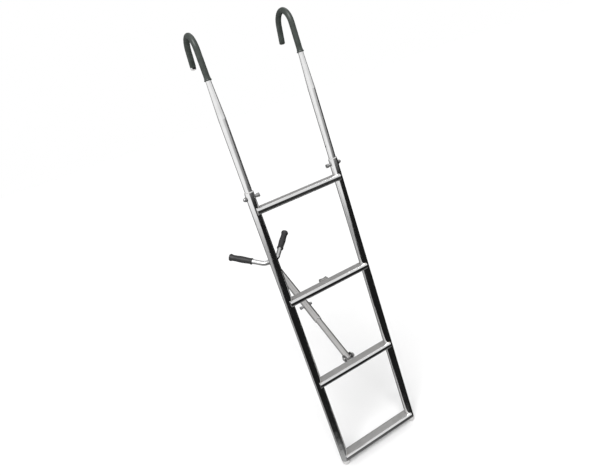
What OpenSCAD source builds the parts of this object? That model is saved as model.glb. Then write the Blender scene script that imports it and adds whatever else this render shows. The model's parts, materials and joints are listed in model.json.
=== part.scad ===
// Boat boarding ladder: four steps between two round rails, two telescoping hook tubes that hang
// over the side of the boat, and a folding, telescoping stand-off arm with a forked rubber-gripped
// end. Millimetres. X runs across the steps, +Y points at the boat, +Z runs up along the rails.
// The origin lies midway between the hooks, where the boat's edge meets the inside of their crowns.

/* [Rails] */
// Outside diameter of the rails
rail_d = 25; // [24:0.5:28]
// Wall thickness of every tube
tube_wall = 1.5; // [1.2:0.1:1.6]
// Distance between the two rail axes
rail_spacing = 256; // [240:1:320]
// Rail length above the top step's standing face
rail_above = 46; // [44:1:80]
// Rail length below the bottom step's standing face
rail_below = 28; // [27:1:80]

/* [Steps] */
// Distance from one step to the next
step_pitch = 274; // [260:1:300]
// Depth of a step from nose to back
step_depth = 36; // [32:1:40]
// Height of a step's section
step_height = 17; // [15:1:20]
// Corner radius of a step's section
step_corner_r = 6; // [4:0.5:7]

/* [Hooks] */
// Outside diameter of the hook tubes where they enter the rails
hook_tube_d = 20; // [19:0.5:20]
// Outside diameter of the hook tubes around the bend
hook_bend_d = 14; // [14:0.5:17]
// Centreline radius of the hook bend
hook_bend_r = 39; // [32:1:45]
// Straight length of the free leg after the bend
hook_leg = 41; // [36:1:75]
// Height of the bend's centre above the top step's standing face
hook_reach = 400; // [390:1:440]
// Height where the tube starts to draw in, above the top step's standing face
neck_low = 235; // [220:1:240]
// Height where the tube has drawn in, above the top step's standing face
neck_high = 322; // [300:1:322]
// Wall thickness of the rubber sleeve
sleeve_wall = 0.8; // [0.8:0.1:2]
// How far the hook tubes can be pulled out of the rails
hook_travel = 100; // [60:5:100]

/* [Stand-off arm] */
// Angle of the arm above the horizontal
arm_angle = 28; // [0:1:60]
// Distance of the pivot behind the rail axes
pivot_back = 36; // [36:1:45]
// Distance from the pivot to the outer tube's lower end
arm_bare = 170; // [150:1:200]
// Distance from the pivot to the fork tube
arm_length = 503; // [480:1:520]
// How far the arm can be pushed together from its set length
arm_push = 60; // [20:5:60]
// How far the arm can be pulled out from its set length
arm_pull = 100; // [40:5:100]

/* [Fork] */
// Outside diameter of the fork tube
fork_d = 18; // [15:0.5:19]
// Centreline radius of the fork's bends
fork_bend_r = 30; // [25:1:40]
// Straight length of each fork leg, up to the outer end of its grip
fork_leg = 133; // [110:1:150]
// Length of the rubber grips
grip_length = 94; // [70:1:100]
// Outside diameter of the rubber grips
grip_d = 24; // [22:0.5:26]
// Diameter of the flared end of the grips
grip_end_d = 28; // [27:0.5:32]

/* [Hidden] */
$fn = 64;
rail_r = rail_d / 2;
bore_r = rail_r - tube_wall;
hook_r = hook_tube_d / 2;
bend_tube_r = hook_bend_d / 2;
sleeve_r = bend_tube_r + sleeve_wall;
rail_x = rail_spacing / 2;
rail_y = -hook_bend_r;
run_gap = 0.05;
side_gap = 0.4;
steps = 4;

// Heights, measured from the inside of the hook crowns
bend_z = sleeve_r - hook_bend_r;
top_step_z = bend_z - hook_reach;
rail_top_z = top_step_z + rail_above;
rail_bottom_z = top_step_z - (steps - 1) * step_pitch - rail_below;

// The hook's free leg leans out by 7 in 24
hook_bend_angle = 180 - atan2(7, 24);

// Hook clamps
bolt_r = 3;
bolt_hole_r = 3.1;
slot_r = 3.5;
clamp_drop = 16;
clamp_z = rail_top_z - clamp_drop;
slot_gap = slot_r - bolt_r;
flange_h = 2;
bush_length = 10;
tail_below_slot = 26;
spare_hole_rise = 51;
hook_bottom_z = clamp_z - hook_travel - tail_below_slot;
sleeve_start_z = top_step_z + 328;
cuff_length = 6;
cuff_extra = 1;
sleeve_short = 4;
tip_length = 4;
tip_spigot = 10;
knob_r = 5.5;
knob_length = 7;
stem_length = 5.5;
cap_nut_r = 5.75;
cap_nut_flat = 3;
washer_t = 1;
washer_r = 6.5;

// Feet
dome_h = 8;
spigot_h = 20;
foot_collar = 9;

// Pivot and bracket on the back of the third step
step_back_y = rail_y + step_depth / 2;
bracket_step_z = top_step_z - 2 * step_pitch;
pivot_y = rail_y + pivot_back;
pivot_z = bracket_step_z - 4;
pivot_r = 4;
plate_t = 3;
ear_x = hook_r + side_gap;
ear_r = 11.5;
tube_end = 8;
pivot_head_r = 7;
pivot_head_h = 4.5;
pivot_nut_af = 13;
pivot_nut_h = 6.5;

// Half of the fork's straight cross part, and the angle that each leg turns away from it.
// Each bend runs a hair past its angle, so that it joins the next straight part.
fork_cross = 12;
fork_bend_angle = asin(0.752192);
fork_seam = 0.001;

// Lengths along the arm from the pivot
arm_clamp_u = arm_bare + 75;
arm_bush_length = 25;
inner_top_u = arm_clamp_u + arm_pull + 30;

// Saddle on the back of the second step
saddle_step_z = top_step_z - step_pitch;
saddle_w = 27;
saddle_h = 20;
saddle_depth = 10;
saddle_rise = 3;
saddle_corner_r = 5;
seat_gap = 0.5;

steel = "silver";
satin = "darkgray";
rubber = [0.24, 0.27, 0.25];
plastic = "lightgray";

// ---- shared shapes ----

// Round tube standing on z = 0
module tube(r, h, wall) {
  difference() {
    cylinder(r = r, h = h);
    translate([0, 0, -1]) cylinder(r = r - wall, h = h + 2);
  }
}

// Round bar along X, centred on the origin
module bar_x(r, length) {
  rotate([0, 90, 0]) translate([0, 0, -length / 2]) cylinder(r = r, h = length);
}

// Slot through a tube along X, from z_low to z_high between the centres of its round ends
module slot_x(r, length, z_low, z_high) {
  translate([0, 0, z_low]) bar_x(r, length);
  translate([0, 0, z_high]) bar_x(r, length);
  translate([-length / 2, -r, z_low]) cube([length, 2 * r, z_high - z_low]);
}

// Places children on a rail's axis: side is -1 for left, 1 for right
module at_rail(side) {
  translate([side * rail_x, rail_y, 0]) children();
}

// Rectangle with round corners, centred
module round_rect(w, h, r) {
  square([w - 2 * r, h], center = true);
  square([w, h - 2 * r], center = true);
  for (sx = [-1, 1], sy = [-1, 1])
    translate([sx * (w / 2 - r), sy * (h / 2 - r)]) circle(r = r);
}

// Bar that follows the hook: a bend from the top of the main leg, then the free leg
module hook_bend(r, leg) {
  translate([0, hook_bend_r, bend_z]) rotate([90, 0, -90])
    rotate_extrude(angle = hook_bend_angle) translate([hook_bend_r, 0]) circle(r = r);
  hook_leg_frame() cylinder(r = r, h = leg);
}

// Frame at the end of the hook bend, with +Z along the free leg
module hook_leg_frame() {
  translate([0, hook_bend_r, bend_z]) rotate([-hook_bend_angle, 0, 0])
    translate([0, -hook_bend_r, 0]) children();
}

// Frame at the pivot, with +Z along the arm and +X across it
module arm_frame() {
  translate([0, pivot_y, pivot_z]) rotate([arm_angle - 90, 0, 0]) children();
}

// ---- ladder frame ----

module rail(side) {
  tube_low_z = rail_bottom_z + foot_collar;
  color(steel) at_rail(side) difference() {
    translate([0, 0, tube_low_z]) tube(rail_r, rail_top_z - flange_h - tube_low_z, tube_wall);
    translate([0, 0, clamp_z]) bar_x(bolt_hole_r, 3 * rail_d);
  }
}

// Flat-oval tube with closed ends, coped around both rails
module step(k) {
  cavity = rail_spacing - 2 * tube_wall;
  color(satin) translate([0, rail_y, top_step_z - (k - 1) * step_pitch - step_height / 2])
    difference() {
      rotate([90, 0, 90]) translate([0, 0, -rail_x]) linear_extrude(rail_spacing)
        round_rect(step_depth, step_height, step_corner_r);
      rotate([90, 0, 90]) translate([0, 0, -cavity / 2]) linear_extrude(cavity)
        round_rect(step_depth - 2 * tube_wall, step_height - 2 * tube_wall, step_corner_r - tube_wall);
      for (side = [-1, 1])
        translate([side * rail_x, 0, -step_height]) cylinder(r = rail_r, h = 2 * step_height);
    }
}

// Domed plug that closes the bottom of a rail
module foot_plug(side) {
  dome_r = (rail_r * rail_r + dome_h * dome_h) / (2 * dome_h);
  color(plastic) at_rail(side) translate([0, 0, rail_bottom_z]) {
    cylinder(r = bore_r, h = foot_collar + spigot_h);
    cylinder(r = rail_r, h = foot_collar);
    rotate_extrude() intersection() {
      translate([0, dome_r - dome_h]) circle(r = dome_r);
      translate([0, -dome_h]) square([rail_r, dome_h]);
    }
  }
}

// Flanged bush that guides a sliding tube in the end of a wider one; the flange is at z = 0 and up
module guide_bush(length) {
  difference() {
    union() {
      translate([0, 0, -length]) cylinder(r = bore_r, h = length);
      cylinder(r = rail_r, h = flange_h);
    }
    translate([0, 0, -length - 1]) cylinder(r = hook_r + run_gap, h = length + flange_h + 2);
  }
}

module hook_guide_bush(side) {
  color(plastic) at_rail(side) translate([0, 0, rail_top_z - flange_h]) guide_bush(bush_length);
}

// Bolt across a tube of rail diameter, with its cap nut end at +X and its knob end at -X
module clamp_bolt() {
  length = rail_d + stem_length + washer_t + knob_length / 2 + cap_nut_flat;
  translate([cap_nut_flat / 2 - (stem_length + knob_length / 2) / 2 + washer_t / 2, 0, 0])
    bar_x(bolt_r, length);
}

// Domed nut and washer on the +X face of a tube of rail diameter
module cap_nut() {
  translate([rail_r, 0, 0]) rotate([0, 90, 0]) difference() {
    union() {
      cylinder(r = washer_r, h = washer_t);
      translate([0, 0, washer_t]) cylinder(r = cap_nut_r, h = cap_nut_flat, $fn = 6);
      translate([0, 0, washer_t + cap_nut_flat]) intersection() {
        sphere(r = cap_nut_r * 0.86);
        cylinder(r = rail_r, h = rail_r);
      }
    }
    translate([0, 0, -1]) cylinder(r = bolt_r, h = 1 + washer_t + cap_nut_flat);
  }
}

// Knurled round knob on the -X end of a clamp bolt, with a thin collar against the tube
module clamp_knob() {
  grooves = 12;
  translate([-rail_r - stem_length, 0, 0]) rotate([0, -90, 0]) difference() {
    union() {
      cylinder(r = knob_r, h = knob_length);
      translate([0, 0, 0.2 - stem_length]) cylinder(r = bolt_r + 1.4, h = stem_length);
    }
    translate([0, 0, -stem_length - 1])
      cylinder(r = bolt_r + run_gap, h = 1 + stem_length + knob_length / 2 + 0.1);
    for (i = [0 : grooves - 1]) rotate([0, 0, i * 360 / grooves])
      translate([knob_r + 0.3, 0, -1]) cylinder(r = 0.9, h = knob_length + 2, $fn = 24);
  }
}

// Places a clamp piece on a rail with the knob facing the other rail
module at_rail_clamp(side) {
  at_rail(side) translate([0, 0, clamp_z]) rotate([0, 0, side < 0 ? 180 : 0]) children();
}

// ---- hooks ----

module hook_tube(side) {
  low_z = top_step_z + neck_low;
  high_z = top_step_z + neck_high;
  color(steel) at_rail(side) difference() {
    union() {
      translate([0, 0, hook_bottom_z]) cylinder(r = hook_r, h = low_z - hook_bottom_z);
      translate([0, 0, low_z]) cylinder(r1 = hook_r, r2 = bend_tube_r, h = high_z - low_z);
      translate([0, 0, high_z]) cylinder(r = bend_tube_r, h = bend_z - high_z);
      hook_bend(bend_tube_r, hook_leg);
    }
    translate([0, 0, hook_bottom_z - 1]) cylinder(r = hook_r - tube_wall, h = low_z - hook_bottom_z + 1);
    translate([0, 0, low_z])
      cylinder(r1 = hook_r - tube_wall, r2 = bend_tube_r - tube_wall, h = high_z - low_z);
    translate([0, 0, high_z]) cylinder(r = bend_tube_r - tube_wall, h = bend_z - high_z);
    hook_bend(bend_tube_r - tube_wall, hook_leg + 1);
    slot_x(slot_r, rail_d, clamp_z - hook_travel - slot_gap, clamp_z + slot_gap);
    translate([-side * hook_r, 0, clamp_z + spare_hole_rise]) bar_x(bolt_hole_r, hook_r);
  }
}

// The left sleeve stops short of its tube's end, and the right one closes over the plug
module hook_sleeve(side) {
  leg = side < 0 ? hook_leg - sleeve_short : hook_leg + tip_length + sleeve_wall;
  color(rubber) at_rail(side) difference() {
    union() {
      translate([0, 0, sleeve_start_z]) cylinder(r = sleeve_r, h = bend_z - sleeve_start_z);
      translate([0, 0, sleeve_start_z]) cylinder(r = sleeve_r + cuff_extra, h = cuff_length);
      hook_bend(sleeve_r, leg);
    }
    translate([0, 0, sleeve_start_z - 1]) cylinder(r = bend_tube_r, h = bend_z - sleeve_start_z + 1);
    hook_bend(bend_tube_r, hook_leg + tip_length);
  }
}

// Plug in the open end of the free leg
module hook_plug(side) {
  color(plastic) at_rail(side) hook_leg_frame() translate([0, 0, hook_leg]) {
    translate([0, 0, -tip_spigot]) cylinder(r = bend_tube_r - tube_wall, h = tip_spigot);
    intersection() {
      cylinder(r = bend_tube_r, h = tip_length);
      translate([0, 0, tip_length - 2 * bend_tube_r]) sphere(r = 2 * bend_tube_r);
    }
  }
}

// ---- stand-off arm ----

// U-shaped bracket welded to the back of the third step
module pivot_bracket() {
  ear_length = pivot_y - step_back_y;
  color(satin) difference() {
    union() {
      translate([-ear_x - plate_t, step_back_y, bracket_step_z - step_height])
        cube([2 * (ear_x + plate_t), plate_t, step_height - 1]);
      for (side = [-1, 1]) translate([side * (ear_x + plate_t / 2), 0, 0]) {
        translate([0, pivot_y, pivot_z]) bar_x(ear_r, plate_t);
        translate([-plate_t / 2, step_back_y, pivot_z - ear_r]) cube([plate_t, ear_length, 2 * ear_r]);
      }
    }
    translate([0, pivot_y, pivot_z]) bar_x(pivot_r, 4 * ear_x);
  }
}

module pivot_bolt() {
  reach = ear_x + plate_t;
  color(steel) translate([0, pivot_y, pivot_z]) {
    translate([pivot_nut_h / 2 + 1, 0, 0]) bar_x(pivot_r, 2 * reach + pivot_nut_h + 2);
    translate([-reach, 0, 0]) rotate([0, -90, 0]) rotate_extrude() intersection() {
      translate([0, pivot_head_h - pivot_head_r * 1.3]) circle(r = pivot_head_r * 1.3);
      square([pivot_head_r, pivot_head_h]);
    }
  }
}

module pivot_nut() {
  across_corners = pivot_nut_af / cos(30);
  color(steel) translate([ear_x + plate_t, pivot_y, pivot_z]) rotate([0, 90, 0]) difference() {
    cylinder(d = across_corners, h = pivot_nut_h, $fn = 6);
    translate([0, 0, -1]) cylinder(r = pivot_r, h = pivot_nut_h + 2);
  }
}

module arm_inner_tube() {
  color(satin) arm_frame() difference() {
    translate([0, 0, -tube_end]) tube(hook_r, inner_top_u + tube_end, tube_wall);
    bar_x(pivot_r + run_gap, rail_d);
    slot_x(slot_r, rail_d, arm_clamp_u - arm_push - slot_gap, arm_clamp_u + arm_pull + slot_gap);
  }
}

// Plug inside the pivot end of the inner tube, which keeps it round under the pivot bolt
module arm_foot_plug() {
  color(plastic) arm_frame() difference() {
    translate([0, 0, -tube_end]) cylinder(r = hook_r - tube_wall, h = 2 * tube_end);
    bar_x(pivot_r + run_gap, rail_d);
  }
}

// Outer tube of the arm, closed at its top end around the fork
module arm_outer_tube() {
  start = arm_bare + flange_h;
  color(satin) arm_frame() difference() {
    translate([0, 0, start]) cylinder(r = rail_r, h = arm_length - start);
    translate([0, 0, start - 1]) cylinder(r = bore_r, h = arm_length - start - tube_wall + 1);
    translate([0, 0, arm_length]) bar_x(fork_d / 2, 2 * rail_d);
    translate([0, 0, arm_clamp_u]) bar_x(bolt_hole_r, 2 * rail_d);
  }
}

module arm_guide_bush() {
  color(plastic) arm_frame() translate([0, 0, arm_bare + flange_h]) mirror([0, 0, 1])
    guide_bush(arm_bush_length);
}

module at_arm_clamp() {
  arm_frame() translate([0, 0, arm_clamp_u]) children();
}

// ---- fork ----

// Centre of a fork bend, for side -1 or 1
module fork_bend_frame(side) {
  translate([side * fork_cross, 0, arm_length + fork_bend_r]) children();
}

// Frame at the start of a fork leg, with +Z along the leg
module fork_leg_frame(side) {
  fork_bend_frame(side) rotate([0, -side * fork_bend_angle, 0]) translate([0, 0, -fork_bend_r])
    rotate([0, side * 90, 0]) children();
}

// The cross part, then two bends and two legs, with the legs' open ends inside the grips
module fork_tube() {
  inside_grip = 6;
  color(steel) arm_frame() {
    translate([0, 0, arm_length]) rotate([0, 90, 0]) translate([0, 0, -fork_cross])
      tube(fork_d / 2, 2 * fork_cross, tube_wall);
    for (side = [-1, 1]) {
      fork_bend_frame(side) rotate([90, 0, 0]) rotate([0, 0, side > 0 ? -90 : -90 - fork_bend_angle])
        rotate_extrude(angle = fork_bend_angle + fork_seam) translate([fork_bend_r, 0]) difference() {
          circle(r = fork_d / 2);
          circle(r = fork_d / 2 - tube_wall);
        }
      fork_leg_frame(side) tube(fork_d / 2, fork_leg - inside_grip, tube_wall);
    }
  }
}

// Rubber grip, closed and flared at its outer end
module fork_grip(side) {
  flare_h = 7;
  flare_slope = 5;
  bulge = 0.9;
  end_r = 2;
  color(rubber) arm_frame() fork_leg_frame(side) translate([0, 0, fork_leg]) difference() {
    rotate_extrude() {
      translate([0, -grip_length]) square([grip_d / 2, grip_length - flare_h]);
      for (at = [0.2, 0.55]) translate([0, -grip_length * at])
        square([grip_d / 2 + bulge, grip_length * 0.12]);
      polygon([
        [0, -flare_h - flare_slope], [grip_d / 2, -flare_h - flare_slope], [grip_end_d / 2, -flare_h],
        [grip_end_d / 2, -end_r], [grip_end_d / 2 - end_r, 0], [0, 0]
      ]);
    }
    translate([0, 0, -grip_length - 1]) cylinder(r = fork_d / 2, h = grip_length - 5);
  }
}

// ---- stow saddle ----

// Block on the back of the second step, with a round seat for the folded arm's outer tube
module stow_saddle() {
  z_mid = saddle_step_z + saddle_rise - saddle_h / 2;
  color(satin) translate([0, 0, z_mid]) difference() {
    translate([0, step_back_y + saddle_depth, 0]) rotate([90, 0, 0])
      linear_extrude(saddle_depth) round_rect(saddle_w, saddle_h, saddle_corner_r);
    translate([0, pivot_y, -saddle_h]) cylinder(r = rail_r + seat_gap, h = 2 * saddle_h);
  }
}

rail(-1);  // left_rail
rail(1);  // right_rail
step(1);  // step_1
step(2);  // step_2
step(3);  // step_3
step(4);  // step_4
foot_plug(-1);  // left_foot_plug
foot_plug(1);  // right_foot_plug
hook_guide_bush(-1);  // left_guide_bush
hook_guide_bush(1);  // right_guide_bush
color(steel) at_rail_clamp(-1) clamp_bolt();  // left_clamp_bolt
color(steel) at_rail_clamp(1) clamp_bolt();  // right_clamp_bolt
color(steel) at_rail_clamp(-1) cap_nut();  // left_cap_nut
color(steel) at_rail_clamp(1) cap_nut();  // right_cap_nut
color(steel) at_rail_clamp(-1) clamp_knob();  // left_clamp_knob
color(steel) at_rail_clamp(1) clamp_knob();  // right_clamp_knob
hook_tube(-1);  // left_hook_tube
hook_tube(1);  // right_hook_tube
hook_sleeve(-1);  // left_hook_sleeve
hook_sleeve(1);  // right_hook_sleeve
hook_plug(-1);  // left_hook_plug
hook_plug(1);  // right_hook_plug
pivot_bracket();
pivot_bolt();
pivot_nut();
arm_inner_tube();
arm_foot_plug();
arm_outer_tube();
arm_guide_bush();
color(steel) at_arm_clamp() clamp_bolt();  // arm_clamp_bolt
color(steel) at_arm_clamp() cap_nut();  // arm_cap_nut
color(steel) at_arm_clamp() clamp_knob();  // arm_clamp_knob
fork_tube();
fork_grip(-1);  // left_fork_grip
fork_grip(1);  // right_fork_grip
stow_saddle();
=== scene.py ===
"""Looks of the boat boarding ladder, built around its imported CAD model. Metres, in the CAD's frame."""

import json
import math

import bpy
from mathutils import Matrix, Vector


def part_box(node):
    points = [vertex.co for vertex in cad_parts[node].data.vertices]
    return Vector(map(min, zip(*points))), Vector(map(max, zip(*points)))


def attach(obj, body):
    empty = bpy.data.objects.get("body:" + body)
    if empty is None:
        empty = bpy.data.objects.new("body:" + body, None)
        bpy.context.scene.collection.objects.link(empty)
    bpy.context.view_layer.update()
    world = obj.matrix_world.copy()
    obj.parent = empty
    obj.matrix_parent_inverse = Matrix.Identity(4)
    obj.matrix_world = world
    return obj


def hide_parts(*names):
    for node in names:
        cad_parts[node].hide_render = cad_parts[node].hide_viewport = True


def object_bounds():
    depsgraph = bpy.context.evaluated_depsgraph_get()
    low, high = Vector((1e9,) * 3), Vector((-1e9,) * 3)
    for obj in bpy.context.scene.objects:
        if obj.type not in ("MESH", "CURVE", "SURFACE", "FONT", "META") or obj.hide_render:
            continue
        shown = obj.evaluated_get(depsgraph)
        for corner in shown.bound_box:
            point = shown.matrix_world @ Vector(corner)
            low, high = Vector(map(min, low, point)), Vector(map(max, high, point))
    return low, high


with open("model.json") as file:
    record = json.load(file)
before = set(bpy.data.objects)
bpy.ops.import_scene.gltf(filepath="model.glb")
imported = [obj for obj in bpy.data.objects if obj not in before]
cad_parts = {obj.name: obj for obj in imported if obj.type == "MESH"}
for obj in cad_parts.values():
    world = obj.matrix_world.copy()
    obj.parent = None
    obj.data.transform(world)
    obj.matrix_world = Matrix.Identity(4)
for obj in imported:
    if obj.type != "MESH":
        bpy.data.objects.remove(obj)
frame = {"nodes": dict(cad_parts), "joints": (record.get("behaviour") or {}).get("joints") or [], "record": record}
cad_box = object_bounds()
nodes = frame["nodes"]
scene = bpy.context.scene
MM = 0.001
UP = Vector((0, 0, 1))


# ---- camera ----

CAMERA_PLACE = (-0.4546, -1.1797, -0.1818)
CAMERA_RIGHT = Vector((0.8563, -0.4149, -0.3075))
CAMERA_DOWN = Vector((-0.3978, -0.1503, -0.9051))
SENSOR = 36.0
FOCAL_SHARE = 0.7784  # focal length over the picture's width


def make_camera():
    right = CAMERA_RIGHT.normalized()
    back = -right.cross(CAMERA_DOWN).normalized()
    up = back.cross(right)
    data = bpy.data.cameras.new("camera")
    data.sensor_width = SENSOR
    data.lens = SENSOR * FOCAL_SHARE
    data.clip_start = 0.01
    obj = bpy.data.objects.new("camera", data)
    scene.collection.objects.link(obj)
    turn = Matrix((right, up, back)).transposed().to_4x4()
    obj.matrix_world = Matrix.Translation(CAMERA_PLACE) @ turn
    scene.camera = obj


make_camera()
scene.view_settings.view_transform = "Standard"


# ---- node helpers ----


class Tree:
    """Short calls for building a node tree."""

    def __init__(self, owner):
        owner.use_nodes = True
        self.t = owner.node_tree
        self.t.nodes.clear()

    def add(self, kind, ins=None, **props):
        n = self.t.nodes.new(kind)
        for k, v in props.items():
            setattr(n, k, v)
        for k, v in (ins or {}).items():
            self.put(n.inputs[k], v)
        return n

    def put(self, socket, v):
        if isinstance(v, bpy.types.NodeSocket):
            self.t.links.new(v, socket)
        else:
            socket.default_value = v

    def math(self, op, a, b=0.0):
        n = self.add("ShaderNodeMath", operation=op)
        self.put(n.inputs[0], a)
        self.put(n.inputs[1], b)
        return n.outputs[0]

    def step(self, v, low, high, to_low=0.0, to_high=1.0):
        """Smooth step of v between low and high."""
        n = self.add("ShaderNodeMapRange", interpolation_type="SMOOTHSTEP")
        for k, x in zip(range(5), (v, low, high, to_low, to_high)):
            self.put(n.inputs[k], x)
        return n.outputs[0]

    def mix(self, f, a, b):
        n = self.add("ShaderNodeMix", data_type="RGBA")
        self.put(n.inputs[0], f)
        self.put(n.inputs[6], a)
        self.put(n.inputs[7], b)
        return n.outputs[2]

    def noise(self, where, scale, detail=3.0, rough=0.5):
        ins = {"Vector": where, "Scale": scale, "Detail": detail, "Roughness": rough}
        return self.add("ShaderNodeTexNoise", ins).outputs[0]

    def place(self, scale=(1, 1, 1), turn=(0, 0, 0)):
        """Rest coordinates, turned and then stretched."""
        c = self.add("ShaderNodeTexCoord").outputs["Object"]
        r = self.add("ShaderNodeVectorRotate", {"Vector": c, "Rotation": turn}, rotation_type="EULER_XYZ")
        s = self.add("ShaderNodeVectorMath", operation="MULTIPLY")
        self.put(s.inputs[0], r.outputs[0])
        self.put(s.inputs[1], scale)
        return s.outputs[0]

    def bump(self, height, strength, distance, normal=None):
        n = self.add("ShaderNodeBump", {"Strength": strength, "Distance": distance, "Height": height})
        if normal is not None:
            self.put(n.inputs["Normal"], normal)
        return n.outputs[0]

    def finish(self, **ins):
        b = self.add("ShaderNodeBsdfPrincipled", {k.replace("_", " "): v for k, v in ins.items()})
        out = self.add("ShaderNodeOutputMaterial")
        self.t.links.new(b.outputs[0], out.inputs[0])


def grey(v, warm=0.0):
    return (v * (1 + warm), v, v * (1 - warm), 1.0)


# ---- materials ----


def steel(name, tone, rough, rough_spread, grain, grain_depth, turn=(0, 0, 0), warm=0.0):
    """Stainless tube: cloudy handling marks, fine drawn grain along the tube, and a faint waviness."""
    m = bpy.data.materials.new(name)
    t = Tree(m)
    smooth = t.place()
    cloud = t.noise(smooth, 38.0, 4.0, 0.6)
    drawn = t.noise(t.place((grain, grain, grain * 0.02), turn), 1.0, 3.0, 0.7)
    wave = t.noise(smooth, 55.0, 1.0)
    speck = t.step(t.noise(smooth, 900.0, 2.0), 0.66, 0.74)
    colour = t.mix(t.step(cloud, 0.3, 0.7), grey(tone, warm), grey(tone * 0.93, warm))
    colour = t.mix(t.math("MULTIPLY", speck, 0.35), colour, grey(tone * 0.6, warm))
    handled = t.step(cloud, 0.35, 0.75, rough, rough + rough_spread)
    r = t.math("ADD", handled, t.math("MULTIPLY", drawn, rough_spread * 0.8))
    normal = t.bump(drawn, grain_depth, 0.0002, t.bump(wave, 0.25, 0.0002))
    t.finish(Base_Color=colour, Metallic=1.0, Roughness=r, Normal=normal)
    return m


def step_metal(name):
    """Steps: the standing face is blasted matte, the nose and the underside are polished."""
    m = bpy.data.materials.new(name)
    t = Tree(m)
    up = t.add("ShaderNodeSeparateXYZ", {0: t.add("ShaderNodeTexCoord").outputs["Normal"]}).outputs[2]
    smooth = t.place()
    cloud = t.noise(smooth, 26.0, 4.0, 0.6)
    blast = t.noise(smooth, 2400.0, 2.0, 0.7)
    long = t.noise(t.place((40.0, 1600.0, 1600.0)), 1.0, 2.0)
    matte = t.step(t.math("ADD", up, t.math("MULTIPLY", t.math("SUBTRACT", cloud, 0.5), 0.01)), 0.975, 0.993)
    worn = t.step(cloud, 0.3, 0.75)
    face = t.mix(worn, grey(0.6, 0.012), grey(0.5, 0.012))
    colour = t.mix(matte, grey(0.84), face)
    polished = t.math("ADD", 0.07, t.math("MULTIPLY", long, 0.08))
    grainy = t.math("ADD", 0.44, t.math("MULTIPLY", blast, 0.14))
    rough_face = t.math("ADD", t.math("MULTIPLY", worn, 0.08), grainy)
    lerp = t.add("ShaderNodeMix", data_type="FLOAT")
    for i, v in ((0, matte), (2, polished), (3, rough_face)):
        t.put(lerp.inputs[i], v)
    height = t.math("MULTIPLY", matte, blast)
    normal = t.bump(height, 0.5, 0.00015, t.bump(long, 0.06, 0.0002))
    t.finish(Base_Color=colour, Metallic=1.0, Roughness=lerp.outputs[0], Normal=normal)
    return m


def rubber(name, dark, light, rough, grain, gloss):
    """Moulded rubber: mottled, slightly dusty, with a fine moulded skin."""
    m = bpy.data.materials.new(name)
    t = Tree(m)
    smooth = t.place()
    cloud = t.noise(smooth, 60.0, 4.0, 0.6)
    skin = t.noise(smooth, grain, 2.0, 0.6)
    colour = t.mix(t.step(cloud, 0.3, 0.72), dark, light)
    r = t.math("ADD", rough, t.math("MULTIPLY", t.math("ADD", cloud, skin), 0.1))
    normal = t.bump(skin, 0.35, 0.00012)
    t.finish(Base_Color=colour, Roughness=r, Normal=normal, Specular_IOR_Level=gloss)
    return m


def nylon(name):
    """Light grey nylon, with fine moulding marks and a few darker scuffs."""
    m = bpy.data.materials.new(name)
    t = Tree(m)
    smooth = t.place()
    cloud = t.noise(smooth, 90.0, 4.0, 0.6)
    scuff = t.step(t.noise(t.place((300.0, 300.0, 60.0)), 1.0, 5.0, 0.7), 0.6, 0.75)
    colour = t.mix(cloud, grey(0.5, 0.01), grey(0.62, 0.01))
    colour = t.mix(t.math("MULTIPLY", scuff, 0.4), colour, grey(0.3))
    r = t.math("ADD", 0.4, t.math("MULTIPLY", scuff, 0.2))
    t.finish(Base_Color=colour, Roughness=r, Normal=t.bump(t.noise(smooth, 1500.0), 0.2, 0.0001))
    return m


STRAW, BLUE = (0.42, 0.37, 0.3, 1.0), (0.3, 0.33, 0.4, 1.0)


def weld_metal(name):
    """Weld bead: bright ripples with a little straw and blue heat colour."""
    m = bpy.data.materials.new(name)
    t = Tree(m)
    smooth = t.place()
    heat = t.noise(smooth, 160.0, 3.0)
    colour = t.mix(t.step(heat, 0.45, 0.7), grey(0.45), STRAW)
    colour = t.mix(t.step(heat, 0.3, 0.42), BLUE, colour)
    r = t.math("ADD", 0.2, t.math("MULTIPLY", heat, 0.2))
    normal = t.bump(t.noise(smooth, 1800.0), 0.3, 0.0001)
    t.finish(Base_Color=colour, Metallic=1.0, Roughness=r, Normal=normal)
    return m


ARM_ANGLE = 28  # degrees above level, at rest
ARM_TURN = (math.radians(90 - ARM_ANGLE), 0, 0)
SLEEVE_DARK, SLEEVE_LIGHT = (0.03, 0.037, 0.032, 1), (0.05, 0.06, 0.053, 1)
GRIP_DARK, GRIP_LIGHT = (0.011, 0.011, 0.012, 1), (0.022, 0.021, 0.022, 1)
MATERIALS = {
    "polished_steel": steel("polished_steel", 0.86, 0.05, 0.05, 1500.0, 0.05),
    "fork_steel": steel("fork_steel", 0.62, 0.16, 0.1, 1500.0, 0.05, ARM_TURN),
    "satin_steel": steel("satin_steel", 0.52, 0.24, 0.1, 1300.0, 0.22, ARM_TURN, 0.015),
    "bracket_steel": steel("bracket_steel", 0.34, 0.2, 0.1, 900.0, 0.15),
    "fastener_steel": steel("fastener_steel", 0.42, 0.26, 0.12, 900.0, 0.1),
    "step_steel": step_metal("step_steel"),
    "rubber_sleeve": rubber("rubber_sleeve", SLEEVE_DARK, SLEEVE_LIGHT, 0.28, 1300.0, 0.45),
    "rubber_grip": rubber("rubber_grip", GRIP_DARK, GRIP_LIGHT, 0.36, 900.0, 0.5),
    "plastic": nylon("plastic"),
    "weld": weld_metal("weld"),
}


def paint(obj, material):
    obj.data.materials.clear()
    obj.data.materials.append(MATERIALS[material])


slot_of = {p["node"]: p["material_slot"] for p in frame["record"]["subparts"]}
for node_name, node_obj in nodes.items():
    paint(node_obj, slot_of[node_name])
paint(nodes["fork_tube"], "fork_steel")
paint(nodes["pivot_bracket"], "bracket_steel")


# ---- mesh helpers ----


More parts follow.
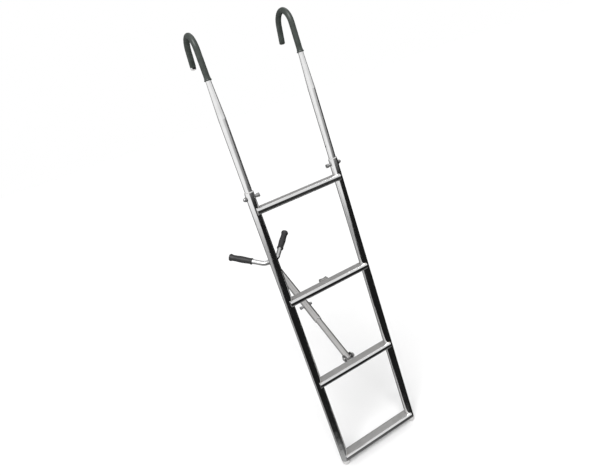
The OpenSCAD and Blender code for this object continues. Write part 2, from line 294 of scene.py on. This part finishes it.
def mesh_piece(name, verts, faces, material, body):
    me = bpy.data.meshes.new(name)
    me.from_pydata([tuple(v) for v in verts], [], faces)
    me.validate()
    for p in me.polygons:
        p.use_smooth = True
    obj = bpy.data.objects.new(name, me)
    scene.collection.objects.link(obj)
    paint(obj, material)
    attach(obj, body)
    return obj


def sweep(path, radii, sides, closed, start=None):
    """Rings of the given radii along a path. Returns vertices and faces; an open sweep has no end faces."""
    n = len(path)
    tangents = []
    for i in range(n):
        a = path[(i - 1) % n] if closed or i else path[0]
        b = path[(i + 1) % n] if closed or i < n - 1 else path[-1]
        tangents.append((b - a).normalized())
    normal = (start or tangents[0].orthogonal()).normalized()
    verts, faces = [], []
    for i in range(n):
        t = tangents[i]
        normal = (normal - normal.dot(t) * t).normalized()
        side = t.cross(normal)
        for k in range(sides):
            a = 2 * math.pi * k / sides
            verts.append(path[i] + radii[i] * (math.cos(a) * normal + math.sin(a) * side))
    for i in range(n if closed else n - 1):
        j = (i + 1) % n
        for k in range(sides):
            m = (k + 1) % sides
            faces.append((i * sides + k, i * sides + m, j * sides + m, j * sides + k))
    return verts, faces


def resample(points, gap, closed):
    """Points every gap along a polyline."""
    pts = [Vector(p) for p in points]
    if closed:
        pts.append(pts[0])
    lengths = [(b - a).length for a, b in zip(pts, pts[1:])]
    total = sum(lengths)
    count = max(8, round(total / gap))
    out, i, passed = [], 0, 0.0
    for k in range(count if closed else count + 1):
        want = total * k / count
        while i < len(lengths) - 1 and passed + lengths[i] < want:
            passed += lengths[i]
            i += 1
        f = (want - passed) / lengths[i] if lengths[i] else 0
        out.append(pts[i].lerp(pts[i + 1], min(1.0, f)))
    return out


BEAD_GAP = 0.45 * MM  # between a bead's rings
BEAD_SIDES = 10
RIPPLE = 1.5 * MM


def bead(name, points, radius, closed, body):
    """Rippled weld bead along a seam. An open bead tapers to closed ends."""
    path = resample(points, BEAD_GAP, closed)
    radii = []
    for i in range(len(path)):
        phase = (i * BEAD_GAP / RIPPLE) % 1.0
        r = radius * (0.86 + 0.2 * math.sqrt(max(0.0, 1 - (2 * phase - 1) ** 2)))
        if not closed:
            end = min(i, len(path) - 1 - i)
            r *= min(1.0, 0.35 + 0.25 * end)
        radii.append(r)
    verts, faces = sweep(path, radii, BEAD_SIDES, closed)
    if not closed:
        n = len(verts)
        faces += [tuple(range(BEAD_SIDES - 1, -1, -1)), tuple(range(n - BEAD_SIDES, n))]
    return mesh_piece(name, verts, faces, "weld", body)


def middle(node):
    low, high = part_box(node)
    return (low + high) / 2


# ---- weld beads where the steps meet the rails ----

RAIL_R = (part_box("left_rail")[1].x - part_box("left_rail")[0].x) / 2
BEAD_R = 0.9 * MM


def step_beads():
    """A bead all round each step's end, over and under the step and down both of its sides."""
    for k in range(1, 5):
        low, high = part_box(f"step_{k}")
        for label, side in (("left", -1), ("right", 1)):
            axis = middle(f"{label}_rail")
            reach = RAIL_R + 0.35 * MM
            top, bottom = high.z + 0.1 * MM, low.z - 0.1 * MM
            arc = [math.radians(a) for a in range(-90, 91, 5)]

            def at(a, z):
                return Vector((axis.x - side * reach * math.cos(a), axis.y + reach * math.sin(a), z))

            face_x = axis.x + side * 0.2 * MM
            back_y, front_y = axis.y + reach + 0.2 * MM, axis.y - reach - 0.2 * MM
            down = (top - 1.5 * MM, bottom + 1.5 * MM)
            points = [at(a, top) for a in arc]
            points += [Vector((face_x, back_y, z)) for z in down]
            points += [at(a, bottom) for a in reversed(arc)]
            points += [Vector((face_x, front_y, z)) for z in reversed(down)]
            bead(f"step_{k}_{label}_weld", points, BEAD_R, True, "ladder")


step_beads()


# ---- the arm's own frame ----

ARM = next(j for j in frame["joints"] if j["name"] == "arm_extend")
ARM_U = Vector(ARM["axis"]).normalized()
ARM_X = Vector((1, 0, 0))
ARM_W = ARM_X.cross(ARM_U)
PIVOT = Vector(next(j for j in frame["joints"] if j["name"] == "arm_swing")["pos_m"])


def on_arm(x, w, u):
    """Point x across the arm, w above it and u along it from the pivot."""
    return PIVOT + x * ARM_X + w * ARM_W + u * ARM_U


# ---- fork ----

FORK_R = 9 * MM
ARM_LENGTH = 503 * MM
FORK_CROSS = 12 * MM
FORK_BEND_R = 30 * MM
FORK_LEG = 133 * MM
FORK_SIN, FORK_COS = 0.752192, 0.658944  # lean of the legs from the crosspiece


def fork_weld():
    """Bead around the saddle where the fork crosses the outer tube's end."""
    tube = RAIL_R + 0.3 * MM
    reach = FORK_R + 0.3 * MM
    limit = math.asin(reach / tube)
    points = []
    for side in (1, -1):
        for i in range(17):
            a = limit * (i / 8 - 1)
            w = side * tube * math.sin(a)
            dip = math.sqrt(max(0.0, reach**2 - w**2))
            points.append(on_arm(side * tube * math.cos(a), w, ARM_LENGTH - dip))
    bead("fork_weld", points, BEAD_R, True, "arm_end")


fork_weld()


def leg_frame(side):
    """Start of a fork leg and the direction that it runs in."""
    start = on_arm(side * (FORK_CROSS + FORK_BEND_R * FORK_SIN), 0, ARM_LENGTH + FORK_BEND_R * (1 - FORK_COS))
    along = (side * FORK_COS * ARM_X + FORK_SIN * ARM_U).normalized()
    return start, along


# Body of a grip from its inner end, in millimetres: distance along it and radius
GRIP = (
    (0.0, 11.4), (0.5, 12.3), (1.5, 12.8), (4.5, 12.85), (5.6, 12.5), (6.3, 11.7), (7.5, 11.4),
    (10.5, 11.5), (16, 11.8), (24, 12.1), (32, 12.5), (38, 12.8), (44, 12.85), (50, 12.7), (57, 12.3),
    (64, 11.9), (70, 11.7), (76, 11.7), (80, 11.9), (83, 12.4), (85.5, 13.2), (87.5, 13.8), (89.5, 14.0),
)
GRIP_START = [(0.0, 9.05), (0.0, 11.4)]
GRIP_END = [
    (88.6, 13.95), (89.5, 14.0), (90.8, 13.93), (91.8, 13.7), (92.7, 13.2), (93.4, 12.5), (93.8, 11.7),
    (94.0, 10.4), (94.0, 7.8), (93.6, 7.0), (93.4, 3.0), (93.4, 0.0),
]
GRIP_LENGTH = 94.0
GRIP_BODY = GRIP_LENGTH - 6
GRIP_GAP = 0.3  # between a grip's rings
GRIP_SIDES = 56
RIB_FROM, RIB_TO, RIB_GAP = 12.0, 74.0, 3.1
RIB_HEIGHT, RIB_SINK = 0.22, 0.16


def grip_radius(d):
    """Radius at d along the grip's body, with fine ribs over its middle."""
    for (d0, r0), (d1, r1) in zip(GRIP, GRIP[1:]):
        if d0 <= d <= d1:
            f = (d - d0) / (d1 - d0)
            f = f * f * (3 - 2 * f)
            r = r0 + f * (r1 - r0)
            break
    if RIB_FROM < d < RIB_TO:
        phase = ((d - RIB_FROM) / RIB_GAP) % 1.0
        r += RIB_HEIGHT * (0.5 - 0.5 * math.cos(2 * math.pi * phase)) - RIB_SINK
    return r


def fork_grip(label, side):
    """Rubber grip with a collar, a swell in the middle, fine ribs and a flared rounded end."""
    start, along = leg_frame(side)
    origin = start + along * (FORK_LEG - GRIP_LENGTH * MM)
    across = ARM_W.copy()
    third = along.cross(across)
    outline = list(GRIP_START)
    d = 0.0
    while d < GRIP_BODY:
        d += GRIP_GAP
        outline.append((d, grip_radius(d)))
    outline += GRIP_END
    sides = GRIP_SIDES
    verts, faces = [], []
    for d, r in outline:
        for k in range(sides):
            a = 2 * math.pi * k / sides
            verts.append(origin + along * d * MM + r * MM * (math.cos(a) * across + math.sin(a) * third))
    for i in range(len(outline) - 1):
        for k in range(sides):
            m = (k + 1) % sides
            faces.append((i * sides + k, i * sides + m, (i + 1) * sides + m, (i + 1) * sides + k))
    piece = mesh_piece(f"{label}_grip", verts, faces, "rubber_grip", "arm_end")
    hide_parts(f"{label}_fork_grip")


fork_grip("left", -1)
fork_grip("right", 1)


# ---- hook sleeves ----

BEND_SIN, BEND_COS = 0.28, -0.96  # of the angle that the hook turns through
HOOK_BEND_R = 39 * MM
SLEEVE_LEG = {"left": 37 * MM, "right": 45.8 * MM}  # the right one closes over its plug
SLEEVE_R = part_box("left_hook_sleeve")[1].z / 2  # the crown's inside is at z = 0
TUBE_R = SLEEVE_R - 0.8 * MM
SLEEVE_GAP = 0.8  # millimetres between a sleeve's rings
SLEEVE_SIDES = 64
FLARE_LENGTH, FLARE = 12.0, 0.75
CUFF_LENGTH, CUFF = 3.4, 1.1
CUFF_ZONE, CUFF_LIMIT = 8.0, 1.8
ROUNDING_LENGTH = 2.4
ROUNDING = {"left": 0.5, "right": 2.4}


def hook_path(label, low, leg):
    """Centreline of a hook from height low, round the bend, to leg along its free leg."""
    axis = middle(f"{label}_rail")
    bend_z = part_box(f"{label}_hook_sleeve")[1].z - HOOK_BEND_R - SLEEVE_R
    angle = math.atan2(BEND_SIN, BEND_COS)
    start = Vector((axis.x, axis.y, low))
    points = [start + UP * (bend_z - low) * i / 60 for i in range(60)]
    for i in range(65):
        a = angle * i / 64
        y, z = HOOK_BEND_R * (1 - math.cos(a)), HOOK_BEND_R * math.sin(a)
        points.append(Vector((axis.x, axis.y + y, bend_z + z)))
    way = Vector((0, BEND_SIN, BEND_COS))
    last = points[-1]
    points += [last + way * leg * i / 30 for i in range(1, 31)]
    return points


def sleeve_radius(label, d, total):
    """Radius in millimetres at d along a sleeve: flare, rolled cuff, slight waviness and rounded end."""
    skin = SLEEVE_R / MM
    r = skin - 0.12
    if d < FLARE_LENGTH:
        f = 1 - d / FLARE_LENGTH
        r += FLARE * f * f * (3 - 2 * f)
    if d < CUFF_LENGTH:
        r += CUFF * math.sqrt(max(0.0, 1 - (2 * d / CUFF_LENGTH - 1) ** 2))
    end = total - d
    if end < ROUNDING_LENGTH:
        r -= ROUNDING[label] * (1 - end / ROUNDING_LENGTH) ** 2
    r += 0.06 * math.sin(d * 0.35) * math.sin(d * 0.093)
    return min(r, skin + (CUFF_LIMIT if d < CUFF_ZONE else 0.0))


def hook_sleeve(label):
    """Stretched-on rubber sleeve. Its ends turn in to the tube, and the right one's free end is closed."""
    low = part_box(f"{label}_hook_sleeve")[0].z
    points = resample(hook_path(label, low, SLEEVE_LEG[label]), SLEEVE_GAP * MM, False)
    tube = TUBE_R / MM + 0.03
    total = (len(points) - 1) * SLEEVE_GAP
    radii = [sleeve_radius(label, i * SLEEVE_GAP, total) * MM for i in range(len(points))]
    sides = SLEEVE_SIDES
    verts, faces = sweep(points, radii, sides, False, Vector((1, 0, 0)))
    if label == "right":
        base = len(verts)
        last = len(points) - 1
        verts.append(points[-1])
        faces += [(last * sides + k, last * sides + (k + 1) % sides, base) for k in range(sides)]
    for ring, at in ((0, points[0]), (len(points) - 1, points[-1])):
        if label == "right" and ring:
            continue
        base = len(verts)
        for k in range(sides):
            v = verts[ring * sides + k]
            verts.append(at + (v - at).normalized() * tube * MM)
        for k in range(sides):
            m = (k + 1) % sides
            q = (ring * sides + m, ring * sides + k, base + k, base + m)
            faces.append(q if ring == 0 else tuple(reversed(q)))
    piece = mesh_piece(f"{label}_sleeve", verts, faces, "rubber_sleeve", f"{label}_hook")
    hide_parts(f"{label}_hook_sleeve")


for hook in ("left", "right"):
    hook_sleeve(hook)


# ---- bracket welds ----


def bracket_welds():
    """Beads along the four edges where the bracket meets the third step."""
    low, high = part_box("pivot_bracket")
    step_low, step_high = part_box("step_3")
    back = step_high.y
    for name, z in (("upper", step_high.z - 2.6 * MM), ("lower", step_low.z + 2.6 * MM)):
        points = [Vector((x, back - 0.2 * MM, z)) for x in (low.x + 1 * MM, high.x - 1 * MM)]
        bead(f"bracket_{name}_weld", points, 1.3 * MM, False, "ladder")
    for name, x in (("left", low.x - 0.1 * MM), ("right", high.x + 0.1 * MM)):
        points = [Vector((x, back + 0.2 * MM, z)) for z in (step_low.z + 5 * MM, step_high.z - 5 * MM)]
        bead(f"bracket_{name}_weld", points, 1.2 * MM, False, "ladder")


bracket_welds()


def saddle_welds():
    """A bead on each side of the block behind the second step."""
    low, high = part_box("stow_saddle")
    step_low, step_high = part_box("step_2")
    back = step_high.y
    bottom = max(low.z, step_low.z)
    for label, x in (("left", low.x), ("right", high.x)):
        points = [Vector((x, back + 0.1 * MM, z)) for z in (bottom + 2 * MM, step_high.z - 3 * MM)]
        bead(f"saddle_{label}_weld", points, BEAD_R, False, "ladder")


saddle_welds()


# ---- floor, light and studio ----


def floor():
    low = cad_box[0][2]
    size = 60.0
    me = bpy.data.meshes.new("floor")
    z = low - 0.5 * MM
    corners = [(-size, -size, z), (size, -size, z), (size, size, z), (-size, size, z)]
    me.from_pydata(corners, [], [(0, 1, 2, 3)])
    obj = bpy.data.objects.new("floor", me)
    scene.collection.objects.link(obj)
    m = bpy.data.materials.new("floor")
    t = Tree(m)
    cloud = t.noise(t.place(), 1.5, 3.0)
    t.finish(Base_Color=t.mix(cloud, grey(0.96), grey(0.98)), Roughness=0.9, Specular_IOR_Level=0.0)
    obj.data.materials.append(m)
    obj.visible_glossy = False


floor()


def studio():
    """Pale surroundings, with a few dark screens that only polished metal shows."""
    world = bpy.data.worlds.new("studio")
    scene.world = world
    t = Tree(world)
    way = t.add("ShaderNodeTexCoord").outputs["Generated"]
    xyz = t.add("ShaderNodeSeparateXYZ", {0: way})
    azimuth = t.math("MULTIPLY", t.math("ARCTAN2", xyz.outputs[1], xyz.outputs[0]), 180 / math.pi)
    height = xyz.outputs[2]

    def sector(centre, half, soft):
        """1 within half of the azimuth centre, in degrees, and 0 outside, with a soft edge."""
        away = t.math("ABSOLUTE", t.math("SUBTRACT", azimuth, centre))
        away = t.math("MINIMUM", away, t.math("SUBTRACT", 360.0, away))
        return t.step(t.math("SUBTRACT", away, half), -soft, soft, 1.0, 0.0)

    shift = t.step(height, -0.45, -0.22, 42.0, 0.0)
    low = t.step(height, -0.19, -0.12, 1.0, 0.0)
    low = t.math("MULTIPLY", low, t.step(height, -0.69, -0.65, 0.0, 1.0))
    front = t.math("MULTIPLY", sector(t.math("SUBTRACT", -24.0, shift), t.math("ADD", 86.0, shift), 7.0), low)
    ground = t.step(height, -0.31, -0.19, 0.56, 0.0)
    right = t.math("MULTIPLY", sector(34.0, 72.0, 14.0), t.step(height, -0.05, 0.12, 0.98, 0.0))
    behind = t.math("MULTIPLY", sector(40.0, 50.0, 14.0), t.step(height, 0.5, 0.7, 0.9, 0.0))
    side = t.math("MULTIPLY", sector(-40.0, 56.0, 26.0), t.step(height, -0.2, 0.1, 0.85, 0.15))
    left = t.math("MULTIPLY", sector(108.0, 38.0, 10.0), t.step(height, -0.5, 0.2, 0.78, 0.66))
    dark = t.math("MAXIMUM", t.math("MAXIMUM", front, right), t.math("MAXIMUM", left, side))
    dark = t.math("MAXIMUM", dark, t.math("MAXIMUM", behind, ground))
    seen = t.mix(dark, grey(1.0), grey(0.012))
    glossy = t.add("ShaderNodeLightPath").outputs["Is Glossy Ray"]
    camera = t.add("ShaderNodeLightPath").outputs["Is Camera Ray"]
    colour = t.mix(glossy, grey(0.56), seen)
    colour = t.mix(camera, colour, grey(1.0))
    back = t.add("ShaderNodeBackground", {"Color": colour, "Strength": 1.0})
    out = t.add("ShaderNodeOutputWorld")
    t.t.links.new(back.outputs[0], out.inputs[0])


studio()


def sun(name, way, strength, degrees):
    data = bpy.data.lights.new(name, "SUN")
    data.energy = strength
    data.angle = math.radians(degrees)
    obj = bpy.data.objects.new(name, data)
    scene.collection.objects.link(obj)
    obj.matrix_world = Vector(way).to_track_quat("-Z", "Y").to_matrix().to_4x4()


sun("key", (0.4, 0.75, -1.0), 2.2, 35)
